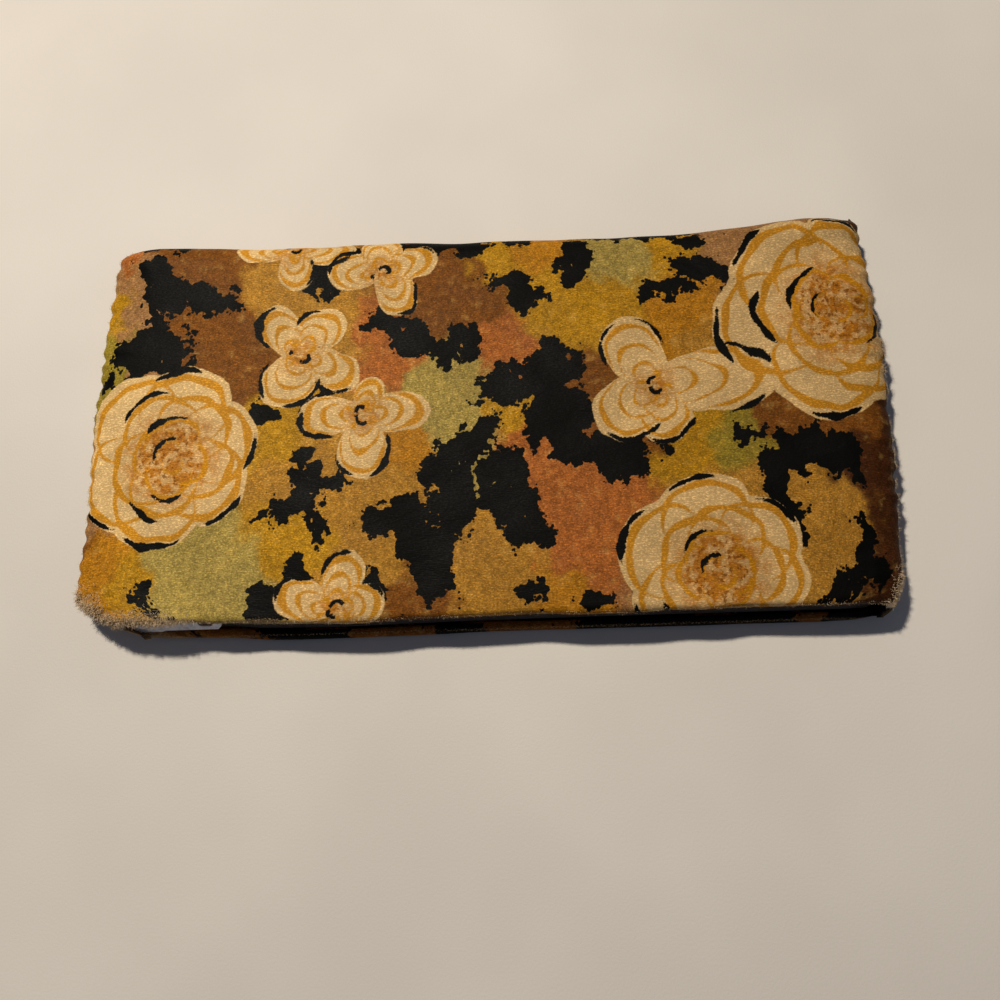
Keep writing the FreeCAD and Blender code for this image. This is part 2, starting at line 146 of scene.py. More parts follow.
def rim(rows, cols, first=0):
    """The grid's border, once round, as vertex numbers."""
    index = first + np.arange(rows * cols).reshape(rows, cols)
    return np.concatenate([index[0, :-1], index[:-1, -1], index[-1, :0:-1], index[:0:-1, 0]])


def shell(name, outer, inner):
    """A closed layer between two grids of points. The inner grid may be coarser by a whole factor."""
    rows, cols = outer.shape[:2]
    in_rows, in_cols = inner.shape[:2]
    factor = (rows - 1) // (in_rows - 1)
    points = np.concatenate([outer.reshape(-1, 3), inner.reshape(-1, 3)])
    faces = grid_faces(rows, cols)
    faces += [face[::-1] for face in grid_faces(in_rows, in_cols, rows * cols)]
    edge, back = rim(rows, cols), rim(in_rows, in_cols, rows * cols)
    for i, (low, high) in enumerate(zip(back, np.roll(back, -1))):
        if factor == 1:
            faces.append([int(edge[i]), int(low), int(high), int(edge[(i + 1) % len(edge)])])
            continue
        half = i * factor + factor // 2
        faces.append([int(low), int(high), int(edge[half])])
        for j in range(factor):
            a, b = edge[i * factor + j], edge[(i * factor + j + 1) % len(edge)]
            corner = low if j < factor // 2 else high
            faces.append([int(a), int(corner), int(b)])
    obj = make_object(name, points, faces)
    face_outwards(obj)
    return obj


def grid_normals(points):
    across = np.gradient(points, axis=1)
    down = np.gradient(points, axis=0)
    normal = np.cross(across, down)
    return normal / np.maximum(np.linalg.norm(normal, axis=2, keepdims=True), 1e-9)


def tubes(name, paths, radii, sides, taper):
    """Many thin round threads in one mesh, each along its own points and thinner towards its end."""
    points, faces, start = [], [], 0
    for path, radius in zip(paths, radii):
        path = np.asarray(path, float)
        n = len(path)
        tangent = np.gradient(path, axis=0)
        tangent /= np.maximum(np.linalg.norm(tangent, axis=1, keepdims=True), 1e-9)
        helper = np.where(np.abs(tangent[:, 2:3]) < 0.9, (0, 0, 1.0), (1.0, 0, 0))
        side = np.cross(tangent, helper)
        side /= np.linalg.norm(side, axis=1, keepdims=True)
        up = np.cross(side, tangent)
        angle = 2 * pi * np.arange(sides) / sides
        size = radius * np.linspace(1, taper, n)[:, None, None]
        ring = side[:, None] * np.cos(angle)[:, None] + up[:, None] * np.sin(angle)[:, None]
        points.append((path[:, None] + ring * size).reshape(-1, 3))
        for i in range(n - 1):
            for j in range(sides):
                k = (j + 1) % sides
                a, b = start + i * sides, start + (i + 1) * sides
                faces.append([a + j, a + k, b + k, b + j])
        faces.append([start + j for j in reversed(range(sides))])
        faces.append([start + (n - 1) * sides + j for j in range(sides)])
        start += n * sides
    return make_object(name, np.concatenate(points), faces)


def vertices(obj):
    return np.array([v.co for v in obj.data.vertices]) / MM


def store(obj, name, values, kind="FLOAT"):
    attribute = obj.data.attributes.new(name, kind, "POINT")
    if kind == "FLOAT":
        attribute.data.foreach_set("value", np.asarray(values, np.float32).ravel())
    elif kind == "FLOAT_VECTOR":
        attribute.data.foreach_set("vector", np.asarray(values, np.float32).ravel())
    else:
        rgba = np.concatenate([values, np.ones((len(values), 1))], 1)
        attribute.data.foreach_set("color", rgba.astype(np.float32).ravel())


# -------------------- the print, in millimetres on the cloth

REPEAT = np.array((236.0, 118.0))
PRINT_TURN = radians(1.7)
PRINT_AT = (-0.8, 1.5)
FAR = 1e3

GOLD = (0.40, 0.205, 0.010)
AMBER = (0.40, 0.17, 0.010)
OCHRE = (0.38, 0.185, 0.025)
BROWN = (0.175, 0.062, 0.009)
DARK_BROWN = (0.060, 0.020, 0.006)
TAN = (0.30, 0.15, 0.055)
RUST = (0.36, 0.115, 0.024)
SAGE = (0.34, 0.25, 0.062)
OLIVE = (0.26, 0.19, 0.022)
INK = (0.0022, 0.0024, 0.0020)
CREAM = (0.60, 0.41, 0.185)
CENTRE = (0.42, 0.16, 0.016)
LINE = (0.46, 0.20, 0.006)

WASHES = (
    (RUST, -98, 45, 5), (TAN, -95, 38, 7), (GOLD, -99, 32, 5), (TAN, -91, 31, 6),
    (BROWN, -68, 45, 14), (BROWN, -82, 44, 7), (BROWN, -67, 20, 12), (BROWN, -62, 8, 7),
    (OLIVE, -101, 11, 7), (TAN, -88, 12, 5), (OCHRE, -47, 31, 11), (OCHRE, -57, 38, 8),
    (OCHRE, -36, 20, 9), (BROWN, -8, 33, 13), (BROWN, 2, 27, 8), (GOLD, 5, 42, 8),
    (AMBER, 18, 43, 8), (RUST, -27, 21, 7), (RUST, -20, 13, 8), (SAGE, -8, 6, 12),
    (SAGE, -2, -6, 8), (SAGE, 3, -18, 7), (OCHRE, -32, -20, 15), (OCHRE, -22, -32, 14),
    (AMBER, -18, -10, 7), (GOLD, -48, -4, 9), (GOLD, -40, -37, 12), (RUST, 8, 17, 9),
    (GOLD, 22, 28, 13), (GOLD, 36, 26, 11), (SAGE, 38, 40, 10), (GOLD, 50, 42, 7),
    (AMBER, 54, 24, 11), (OCHRE, 58, 17, 7), (TAN, 67, 45, 9), (BROWN, 28, 5, 8),
    (GOLD, 9, -2, 6), (RUST, 14, -12, 6), (RUST, 24, -24, 10), (RUST, 36, -22, 9),
    (RUST, 28, -37, 10), (OCHRE, 5, -36, 11), (OCHRE, 10, -48, 10), (AMBER, 24, -48, 7),
    (GOLD, 54, -13, 10), (OLIVE, 63, -12, 7), (OCHRE, 62, -24, 9), (BROWN, 82, -2, 9),
    (BROWN, 94, -4, 9), (DARK_BROWN, 98, -16, 9), (OCHRE, 88, -31, 10), (OCHRE, 84, -44, 8),
    (TAN, -98, -25, 9), (AMBER, -94, -42, 10), (BROWN, -99, -38, 6), (GOLD, -86, -46, 8),
    (SAGE, -70, -42, 11), (SAGE, -58, -49, 12), (SAGE, -72, -52, 10), (BROWN, -13, -50, 8),
    (OCHRE, -33, -45, 9), (BROWN, 45, -8, 6), (TAN, 80, 30, 16), (TAN, 60, -42, 16),
    # Painted shade: these dark brown washes along the right side's slope darken the brown print there.
    (DARK_BROWN, 108, -44, 8), (DARK_BROWN, 108, -30, 8), (DARK_BROWN, 108, -15, 8),
    (DARK_BROWN, 109, 0, 8), (DARK_BROWN, 109, 16, 8), (DARK_BROWN, 108, 32, 8), (DARK_BROWN, 107, 46, 7),
)

DARK_PATCHES = (
    (-90, 51, 10, 3.5, -5), (-87, 40, 7, 3, -15), (-84, 34, 6, 5, 0), (-73, 32, 9, 3.6, -12),
    (-87, 17, 11, 5.5, 8), (-85, 25, 5, 3.5, 0), (-79, 13, 4.5, 4, 0), (-98, 8, 2, 3.5, 10),
    (-44, 42, 6, 4.5, 40), (-40, 35, 5, 3, 0), (-36, 47, 4, 4, 0), (-58, 50, 4, 2, 0),
    (-12, 47.5, 9, 3.2, -10), (-2, 47, 5, 3.5, 0), (-23, 24, 5, 3, -30), (-14, 18, 8, 3.4, -20),
    (-6, 15, 6, 3.6, 10), (-2, 19, 4, 2.6, 0), (-46, 4, 9, 3.2, -35), (-53, -1, 3, 3.5, 30),
    (-44, -13, 3, 2.6, 0), (-38, -19, 6, 2.8, -10), (-44, -25, 6.5, 3.6, 25), (-38, -30, 2, 4.2, 0),
    (-50, -29, 4, 1.4, 20), (-82, -48, 2.2, 3, 0), (-81, -53, 3.2, 2.4, 0), (-72, -58, 6, 1.6, 0),
    (10, 5, 8, 4.5, 0), (20, 9, 6.5, 6, 20), (23, -5, 8, 9, 0), (35, -14, 9, 5, -15),
    (8, -17, 6, 5, 0), (10, -26, 8, 4.5, 0), (15, -33, 5, 3.6, 0), (3, -8, 3.5, 4, 0),
    (19, 14, 3.4, 3, 0), (25, 12, 3, 2, 20), (-8, -17, 5, 4.5, 20), (-17, -29, 9, 4.2, 12),
    (-10, -37, 6, 6.5, 0), (-4, -25, 5, 7, 0), (-3, -33, 4, 2.6, 0), (-7, -46, 4, 4, -45),
    (-47, -50, 8, 4.6, 20), (-42, -43, 3.6, 2.6, 0), (-22, -47, 2.6, 5, 30), (-3, -12, 5, 4, 0),
    (13, 30, 4.5, 4, -30), (9, 35, 6, 2.4, 0), (26, 43, 3.6, 4, 0), (26, 36, 3.6, 3.6, 30),
    (10, 48, 4, 3, 0), (58, 37, 7, 3, -5), (50, 31, 7, 2.6, 8), (64, 34, 4, 2.4, 0),
    (44, 49, 14, 1.8, -3), (56, 45, 2.6, 3, 0), (84, -13, 11, 4.6, -5), (75, -19, 4, 7, 0),
    (77, -31, 2.6, 5, 10), (93, -17, 3.6, 4.4, 0), (98, -39, 3, 8, 10), (91, -47, 7, 3.4, 25),
    (15, -48, 3, 3, 0), (31, -49, 4.6, 2.4, -25), (48, -12, 4, 1.2, -30), (69, -9, 4, 2, 20),
)


def offset(points, x, y):
    """Points as seen from (x, y), on a cloth whose print repeats."""
    half = REPEAT / 2
    return np.mod(points - (x, y) + half, REPEAT) - half


def turned(d, angle):
    c, s = cos(radians(angle)), sin(radians(angle))
    return d[:, 0] * c + d[:, 1] * s, -d[:, 0] * s + d[:, 1] * c


class Drawing:
    """Distances in millimetres, negative inside, of what is printed at each point."""

    def __init__(self, points):
        self.points = points
        n = len(points)
        self.petal = np.full(n, FAR)
        self.line = np.full(n, FAR)
        self.brush = np.full(n, FAR)
        self.glow = np.zeros(n)

    def loop(self, d, centre, turn, size, half):
        """An oval brush line, broad on the side away from the flower's middle and fine near it."""
        a, b = turned(d, turn)
        a = a - centre
        q = np.hypot(a / size[0], b / size[1])
        angle = np.arctan2(b, a)
        outer = np.clip(0.5 + 0.5 * np.cos(angle), 0, 1)
        width = half * (1.35 * outer - 0.30) * (1 + 0.22 * np.sin(5 * angle + size[0] * 3))
        self.line = np.minimum(self.line, np.abs(q - 1) * min(size) - width)

    def arc(self, d, centre, turn, size, middle, half, thick):
        """A dark, dry stroke that follows part of an oval and tapers at both ends."""
        a, b = turned(d, turn)
        a = a - centre
        angle = np.arctan2(b, a)
        away = np.mod(angle - radians(middle) + pi, 2 * pi) - pi
        taper = np.sqrt(np.clip(1 - (away / radians(half)) ** 2, 0, 1))
        torn = 1.05 + 0.28 * np.sin(away * 5 + middle) + 0.16 * np.sin(away * 14 + half)
        sd = np.abs(np.hypot(a / size[0], b / size[1]) - 1) * min(size)
        self.brush = np.minimum(self.brush, sd - 0.72 * thick * taper * torn + 0.06)


NESTED_LINES = ((0.90, 0.60), (0.62, 0.42), (0.36, 0.34))  # scale, half the brush's width
RAYS = 9


def blossom(drawing, x, y, petals, arcs):
    """A flower of a few long petals, each (direction, length, width), with nested lines.

    Each arc is a dark stroke: (petal, middle angle, half its sweep, thickness).
    """
    d = offset(drawing.points, x, y)
    for direction, length, width in petals:
        a, b = turned(d, direction)
        spread = 0.70 + 0.30 * np.clip(a / length, 0, 1)
        q = np.hypot((a - 0.5 * length) / (0.54 * length), b / (0.54 * width * spread))
        drawing.petal = np.minimum(drawing.petal, (q - 1) * min(0.5 * length, 0.5 * width))
    for n, (direction, length, width) in enumerate(petals):
        for scale, half in NESTED_LINES:
            oval = (0.49 * length * scale, 0.46 * width * scale)
            drawing.loop(d, 0.5 * length * scale, direction + (1 - scale) * 9, oval, half)
        for which, middle, half, thick in arcs:
            if which == n:
                oval = (0.50 * length, 0.50 * width)
                drawing.arc(d, 0.5 * length, direction, oval, middle, half, thick)
    r = np.hypot(d[:, 0], d[:, 1])
    angle = np.arctan2(d[:, 1], d[:, 0])
    rays = np.abs(np.mod(angle * RAYS / (2 * pi), 1) - 0.5) * r * 2 * pi / RAYS
    reach = 3.4 + 1.2 * np.sin(angle * 4 + x)
    drawing.line = np.minimum(drawing.line, np.maximum(0.5 - rays, r - reach) * 0.6)
    ring = np.abs(r - 1.9 - 0.5 * np.sin(angle * 2 + y)) - 0.55
    eye = np.maximum(ring, -np.sin(angle * 1.5 + y) * 2)
    drawing.brush = np.minimum(drawing.brush, eye)
    drawing.glow = np.maximum(drawing.glow, 0.8 * step(8, 1, r))


# petals in a ring, then as shares of the radius their distance out and their size, and the brush's half width
ROSETTE_RINGS = ((6, 0.57, 0.44, 0.85), (5, 0.38, 0.36, 0.75), (4, 0.20, 0.26, 0.60), (2, 0.08, 0.13, 0.45))


def rosette(drawing, x, y, radius, turn, arcs):
    """A full flower: a scalloped pale shape under rings of loose overlapping loops."""
    d = offset(drawing.points, x, y)
    brush = 0.4 + 0.026 * radius
    count = 0
    for ring, (petals, reach, size, half) in enumerate(ROSETTE_RINGS):
        for n in range(petals):
            direction = turn + 360 * n / petals + 31 * ring + 9 * sin(3 * n + ring)
            centre = reach * radius * (1 + 0.12 * sin(5 * n + 3 * ring + x))
            own = size * radius * (1 + 0.14 * sin(7 * n + ring))
            a, b = turned(d, direction)
            if ring == 0:
                q = np.hypot((a - centre) / own, b / (own * 1.12))
                drawing.petal = np.minimum(drawing.petal, (q - 1) * own)
            drawing.loop(d, centre * 0.93, direction, (own * 0.84, own), half * brush)
            for which, middle, sweep, thick in arcs:
                if which == count:
                    drawing.arc(d, centre, direction, (own * 0.93, own * 1.06), middle, sweep, thick)
            count += 1
    r = np.hypot(d[:, 0], d[:, 1])
    drawing.petal = np.minimum(drawing.petal, r - 0.6 * radius)
    drawing.glow = np.maximum(drawing.glow, step(0.72 * radius, 0.22 * radius, r))


def flowers(drawing):
    """The flowers of one repeat of the print."""
    rosette(drawing, -77, -13, 24.5, 20, (
        (1, 20, 38, 1.2), (0, -35, 30, 1.0), (4, 15, 42, 1.3), (5, -20, 35, 1.1), (3, 40, 30, 0.9),
        (7, 10, 45, 1.0), (9, -30, 40, 1.0), (11, 25, 50, 1.0), (13, 0, 50, 1.0), (15, 20, 80, 0.9)))
    blossom(drawing, -45, 15, ((128, 16, 12), (55, 15, 13), (-28, 17, 11), (-112, 15, 15)),
            ((0, 40, 60, 1.2), (3, 60, 55, 1.1), (2, -60, 50, 0.9), (1, 70, 40, 0.8), (3, -70, 40, 0.9)))
    blossom(drawing, -50, 47, ((175, 15, 11), (-5, 17, 11), (-75, 13, 10), (80, 12, 11)),
            ((2, 60, 50, 0.8), (1, -50, 40, 0.7)))
    blossom(drawing, -25, 38, ((92, 14, 12), (175, 14, 12), (20, 15, 11), (-55, 14, 11)),
            ((1, -40, 55, 0.9), (2, 50, 45, 0.8), (3, 30, 60, 0.8), (0, -60, 40, 0.7)))
    blossom(drawing, -28, -2, ((180, 16, 12), (3, 17, 11), (75, 10, 8), (-85, 17, 14)),
            ((0, 50, 55, 1.1), (3, 60, 55, 1.1), (0, -60, 40, 0.7), (3, -50, 30, 0.8)))
    blossom(drawing, 46, 4, ((118, 20, 16), (6, 29, 19), (-140, 17, 17), (-75, 15, 14)),
            ((0, 50, 45, 0.9), (0, -60, 35, 0.8), (1, 35, 28, 1.2), (2, 60, 55, 0.9), (3, 10, 60, 0.9),
             (1, -50, 26, 0.8)))
    rosette(drawing, 92, 24, 28, 75, (
        (1, 10, 32, 1.5), (2, 0, 36, 1.3), (3, 20, 34, 1.2), (7, 30, 40, 1.3), (11, 0, 60, 1.1),
        (0, 10, 36, 1.0), (13, 20, 50, 1.0), (15, 0, 70, 0.8)))
    rosette(drawing, 60, -43, 22, 40, (
        (1, 10, 36, 1.1), (2, 0, 40, 1.3), (0, 15, 36, 1.0), (3, -10, 40, 1.2), (8, 10, 40, 0.9),
        (11, 20, 50, 0.9), (15, 0, 80, 0.8)))
    blossom(drawing, -32, -51, ((75, 14, 11), (165, 15, 11), (10, 12, 10), (-60, 12, 10)),
            ((1, -40, 55, 1.0), (0, 50, 55, 0.9), (2, 40, 40, 0.7)))


PATCH_LONGER, PATCH_WIDER = 1.12, 1.18
WASH_EDGE = 9.5  # how sharply one wash gives way to the next
WASH_MOST = 14
PRINT_REACH = 20  # distances are kept up to this


def dark_ground(points):
    """Distance to the dark ground, negative inside it."""
    dark = np.full(len(points), FAR)
    for x, y, long, wide, angle in DARK_PATCHES:
        a, b = turned(offset(points, x, y), angle)
        long, wide = long * PATCH_LONGER, wide * PATCH_WIDER
        dark = np.minimum(dark, (np.hypot(a / long, b / wide) - 1) * min(long, wide))
    return dark


def washes(points):
    """The colour of the painted patches, each softly edged against the next."""
    total = np.zeros((len(points), 3))
    weight = np.full(len(points), 1e-9)
    for colour, x, y, radius in WASHES:
        d = offset(points, x, y)
        near = np.exp(np.minimum(-WASH_EDGE * (np.hypot(d[:, 0], d[:, 1]) / radius - 1), WASH_MOST))
        total += near[:, None] * colour
        weight += near
    return total / weight[:, None]


def print_on(obj, cloth, brown_and_shade_strip):
    """Lay the print, a little askew, on a piece whose points lie at these places on the cloth.

    The last argument is 1 where the cloth is laid only brown and black, as along the lip below the mouth:
    brown print with painted shade under the hem. Just under 1, as on the right side's slope, it leaves the
    dark ground as it is; the brown laid there is painted shade over brown print.
    """
    x, y = turned(cloth - PRINT_AT, -np.degrees(PRINT_TURN))
    cloth = np.stack([x, y], 1)
    bent = cloth + np.stack([
        1.1 * waves(x, y, 14, 6, 11) + 0.45 * waves(x, y, 5, 2.2, 12),
        1.1 * waves(x, y, 14, 6, 13) + 0.45 * waves(x, y, 5, 2.2, 14)], 1)
    drawn = cloth + np.stack([0.28 * waves(x, y, 18, 7, 15), 0.28 * waves(x, y, 18, 7, 16)], 1)
    drawing = Drawing(drawn)
    flowers(drawing)
    brown_and_shade_strip = brown_and_shade_strip[:, None]
    colour = washes(bent) * (1 - brown_and_shade_strip) + np.array(BROWN) * brown_and_shade_strip
    ground = dark_ground(bent)
    # On the lip, painted shade: the black ground is laid denser towards the right and thins out at the left
    # end.
    lip_black_and_shade = 2.2 * waves(x, 0.4 * y, 46, 17, 17) + 0.4 + 3 * step(-58, -66, x) - 1.6 * step(-20, 0, x)
    ground = np.where(brown_and_shade_strip[:, 0] >= 1, lip_black_and_shade, ground)
    drawing.petal += 30 * brown_and_shade_strip[:, 0]
    store(obj, "wash", colour, "FLOAT_COLOR")
    store(obj, "cloth", np.concatenate([cloth, np.zeros((len(cloth), 1))], 1), "FLOAT_VECTOR")
    for name, values in (("dark", ground), ("petal", drawing.petal), ("line", drawing.line),
                         ("brush", drawing.brush), ("glow", drawing.glow)):
        store(obj, name, np.clip(values, -PRINT_REACH, PRINT_REACH))


# -------------------- shaders


class Shader:
    """A node material, written as sums."""

    def __init__(self, name, **settings):
        self.material = bpy.data.materials.new(name)
        self.material.use_nodes = True
        self.tree = self.material.node_tree
        self.tree.nodes.clear()
        self.out = self.tree.nodes.new("ShaderNodeOutputMaterial")
        self.bsdf = self.tree.nodes.new("ShaderNodeBsdfPrincipled")
        self.tree.links.new(self.bsdf.outputs[0], self.out.inputs[0])
        for key, value in settings.items():
            self.bsdf.inputs[key.replace("_", " ")].default_value = value

    def put(self, socket, value):
        if isinstance(value, bpy.types.NodeSocket):
            self.tree.links.new(value, socket)
        elif isinstance(value, tuple) and len(value) == 3 and socket.type == "RGBA":
            socket.default_value = value + (1,)
        else:
            socket.default_value = value

    def set(self, key, value):
        self.put(self.bsdf.inputs[key], value)

    def attribute(self, name, output="Fac"):
        node = self.tree.nodes.new("ShaderNodeAttribute")
        node.attribute_name = name
        return node.outputs[output]

    def place(self):
        """Place on the object, in millimetres."""
        node = self.tree.nodes.new("ShaderNodeTexCoord")
        return self.vector("MULTIPLY", node.outputs["Object"], (1000.0, 1000.0, 1000.0))

    def vector(self, operation, a, b):
        node = self.tree.nodes.new("ShaderNodeVectorMath")
        node.operation = operation
        self.put(node.inputs[0], a)
        self.put(node.inputs[1], b)
        return node.outputs[0]

    def along_x(self, where):
        parts = self.tree.nodes.new("ShaderNodeSeparateXYZ")
        self.put(parts.inputs[0], where)
        return parts.outputs["X"]

    def noise(self, where, scale, detail=3.0, roughness=0.55, distortion=0.0):
        node = self.tree.nodes.new("ShaderNodeTexNoise")
        self.put(node.inputs["Vector"], where)
        self.put(node.inputs["Scale"], scale)
        self.put(node.inputs["Detail"], detail)
        self.put(node.inputs["Roughness"], roughness)
        self.put(node.inputs["Distortion"], distortion)
        return node.outputs["Fac"]

    def cells(self, where, scale):
        node = self.tree.nodes.new("ShaderNodeTexVoronoi")
        self.put(node.inputs["Vector"], where)
        self.put(node.inputs["Scale"], scale)
        return node.outputs["Distance"]

    def wave(self, where, scale, direction, distortion):
        node = self.tree.nodes.new("ShaderNodeTexWave")
        node.bands_direction = direction
        self.put(node.inputs["Vector"], where)
        self.put(node.inputs["Scale"], scale)
        self.put(node.inputs["Distortion"], distortion)
        return node.outputs["Fac"]

    def math(self, operation, a, b):
        node = self.tree.nodes.new("ShaderNodeMath")
        node.operation = operation
        self.put(node.inputs[0], a)
        self.put(node.inputs[1], b)
        return node.outputs[0]

    def add(self, a, b):
        return self.math("ADD", a, b)

    def times(self, a, b):
        return self.math("MULTIPLY", a, b)

    def swing(self, value, amount):
        """Noise from 0 to 1 made to swing about nought."""
        return self.times(self.add(value, -0.5), amount)

    def between(self, value, low, high, to_low=0.0, to_high=1.0):
        """A smooth step of value from low to high."""
        node = self.tree.nodes.new("ShaderNodeMapRange")
        node.interpolation_type = "SMOOTHSTEP"
        for key, number in (("Value", value), ("From Min", low), ("From Max", high),
                            ("To Min", to_low), ("To Max", to_high)):
            self.put(node.inputs[key], number)
        return node.outputs[0]

    def mix(self, amount, a, b, blend="MIX"):
        node = self.tree.nodes.new("ShaderNodeMix")
        node.data_type = "RGBA"
        node.blend_type = blend
        self.put(node.inputs[0], amount)
        self.put(node.inputs[6], a)
        self.put(node.inputs[7], b)
        return node.outputs[2]

    def tint(self, colour, by):
        return self.mix(1.0, colour, by, "MULTIPLY")

    def grey(self, value):
        node = self.tree.nodes.new("ShaderNodeCombineColor")
        for socket in node.inputs:
            self.put(socket, value)
        return node.outputs[0]

    def bump(self, height, distance, strength=1.0, normal=None):
        node = self.tree.nodes.new("ShaderNodeBump")
        self.put(node.inputs["Height"], height)
        self.put(node.inputs["Distance"], distance)
        self.put(node.inputs["Strength"], strength)
        if normal is not None:
            self.put(node.inputs["Normal"], normal)
        return node.outputs[0]


def satin_material():
    """Printed satin: ragged colour patches on black, cream flowers, ochre lines, black strokes.

    The cloth's attributes give the shapes; noise makes their edges ragged.
    """
    s = Shader("satin_print_cloth", Specular_IOR_Level=0.035, Sheen_Weight=0.004, Sheen_Roughness=0.4)
    s.bsdf.inputs["Sheen Tint"].default_value = (0.95, 0.85, 0.70, 1)
    cloth = s.attribute("cloth", "Vector")
    ragged = s.add(s.swing(s.cells(cloth, 0.42), 1.7), s.swing(s.cells(cloth, 1.05), 1.8))
    rough_edge = s.swing(s.noise(cloth, 1.5, 3.0, 0.6), 0.7)
    brush_edge = s.swing(s.noise(cloth, 0.9, 3.0, 0.6), 0.75)

    blot = s.noise(cloth, 0.55, 5.0, 0.66)
    fleck = s.noise(cloth, 2.2, 3.0, 0.6)
    broad = s.noise(cloth, 0.07, 3.0, 0.5)
    shade = s.between(s.add(s.times(blot, 0.6), s.times(fleck, 0.4)), 0.38, 0.60, 0.62, 1.14)
    colour = s.tint(s.attribute("wash", "Color"), s.grey(shade))
    pale = s.between(s.noise(cloth, 0.28, 4.0, 0.6), 0.54, 0.74, 0.0, 0.25)
    colour = s.mix(pale, colour, (0.60, 0.38, 0.11))

    dark = s.add(s.attribute("dark"), s.add(ragged, rough_edge))
    black = s.between(dark, 0.16, -0.16)
    colour = s.mix(black, colour, INK)

    petal = s.between(s.add(s.attribute("petal"), brush_edge), 0.16, -0.16)
    glow = s.attribute("glow")
    inner = s.times(glow, s.between(s.noise(cloth, 0.35, 3.0, 0.55), 0.40, 0.60, 0.35, 1.25))
    cream = s.mix(inner, CREAM, CENTRE)
    marks = s.times(s.between(s.noise(cloth, 0.7, 3.0, 0.6), 0.54, 0.62), s.between(glow, 0.55, 1.0))
    cream = s.mix(s.times(marks, 0.8), cream, BROWN)
    cream = s.tint(cream, s.grey(s.between(blot, 0.3, 0.7, 0.86, 1.05)))
    colour = s.mix(petal, colour, cream)
    on_flower = s.between(s.attribute("petal"), 0.6, 0.2)
    drawn = s.between(s.add(s.attribute("line"), s.times(brush_edge, 0.6)), 0.22, -0.20, 0.0, 0.94)
    colour = s.mix(s.times(drawn, on_flower), colour, LINE)
    stroke = s.between(s.add(s.attribute("brush"), s.times(rough_edge, 1.3)), 0.12, -0.12)
    colour = s.mix(s.times(stroke, s.between(s.attribute("petal"), 1.8, 1.2)), colour, INK)

    # Threads run across the pouch; some stand proud, and on them the colour is lightened as painted glints.
    threads = s.noise(s.vector("MULTIPLY", cloth, (0.55, 5.2, 1.0)), 1.0, 2.0, 0.5)
    picks = s.noise(s.vector("MULTIPLY", cloth, (1.5, 3.2, 1.0)), 1.0, 2.0, 0.65)
    painted_glint = s.between(s.add(s.times(threads, 0.35), s.times(picks, 0.65)), 0.46, 0.66)
    colour = s.tint(colour, s.grey(s.between(painted_glint, 0.0, 1.0, 0.82, 1.60)))
    worn = s.between(s.add(s.attribute("wear"), s.swing(fleck, 1.3)), 0.42, 0.72)
    colour = s.mix(s.times(worn, 0.75), colour, (0.36, 0.25, 0.13))
    colour = s.tint(colour, s.grey(s.between(broad, 0.42, 0.62, 0.88, 1.04)))
    # Painted sheen and shade: the colour is made lighter towards the cloth's left and darker towards its
    # right.
    painted_sheen_across = s.between(s.add(s.along_x(cloth), s.swing(blot, 40.0)), -90.0, 90.0)
    colour = s.tint(colour, s.mix(painted_sheen_across, (1.08, 1.06, 1.0), (0.80, 0.76, 0.70)))
    s.set("Base Color", colour)
    gloss = s.add(s.between(picks, 0.35, 0.65, 0.54, 0.42), s.times(worn, 0.28))
    s.set("Roughness", s.add(gloss, s.times(s.between(broad, 0.40, 0.60), 0.08)))
    height = s.add(s.times(threads, 0.6), s.times(picks, 0.4))
    creases = s.noise(s.vector("MULTIPLY", cloth, (0.16, 0.30, 1.0)), 1.0, 4.0, 0.55, 0.6)
    normal = s.bump(creases, 0.0005, 0.4)
    s.set("Normal", s.bump(height, 0.00013, 0.7, normal))
    return s.material


def woven(name, dark, light, scale, roughness, sheen):
    """A plain woven cloth or tape: two sets of threads crossing."""
    s = Shader(name, Roughness=roughness, Sheen_Weight=sheen, Specular_IOR_Level=0.35)
    where = s.place()
    warp = s.wave(where, 1.1 * scale, "X", 0.4)
    weft = s.wave(where, 1.1 * scale, "Y", 0.4)
    weave = s.add(s.times(warp, 0.5), s.times(weft, 0.5))
    blot = s.noise(where, 0.25, 4.0, 0.6)
    colour = s.mix(s.between(s.add(s.times(weave, 0.35), s.times(blot, 0.65)), 0.3, 0.7), dark, light)
    s.set("Base Color", colour)
    s.set("Normal", s.bump(weave, 0.00015, 0.7, s.bump(blot, 0.0006, 0.4)))
    return s.material


def metal(name, dark, light, roughness, metallic):
    """Dull worn metal with fine scratches, darker where it is handled less."""
    s = Shader(name, Metallic=metallic)
    where = s.place()
    tarnish = s.noise(where, 0.45, 5.0, 0.65)
    scratches = s.noise(s.vector("MULTIPLY", where, (0.7, 9.0, 9.0)), 1.0, 3.0, 0.6)
    pits = s.noise(where, 5.0, 3.0, 0.6)
    bright = s.between(s.add(s.times(tarnish, 0.7), s.times(pits, 0.3)), 0.36, 0.62)
    s.set("Base Color", s.mix(bright, dark, light))
    s.set("Roughness", s.add(roughness, s.swing(scratches, 0.5)))
    s.set("Normal", s.bump(scratches, 0.00004, 0.6, s.bump(pits, 0.00005, 0.5)))
    return s.material


def fibre_material(name, dark, light):
    s = Shader(name, Roughness=0.8, Sheen_Weight=0.4, Specular_IOR_Level=0.3)
    where = s.place()
    s.set("Base Color", s.mix(s.between(s.noise(where, 1.3, 3.0, 0.6), 0.35, 0.65), dark, light))
    s.set("Normal", s.bump(s.noise(where, 9.0, 2.0, 0.5), 0.00005, 0.6))
    return s.material


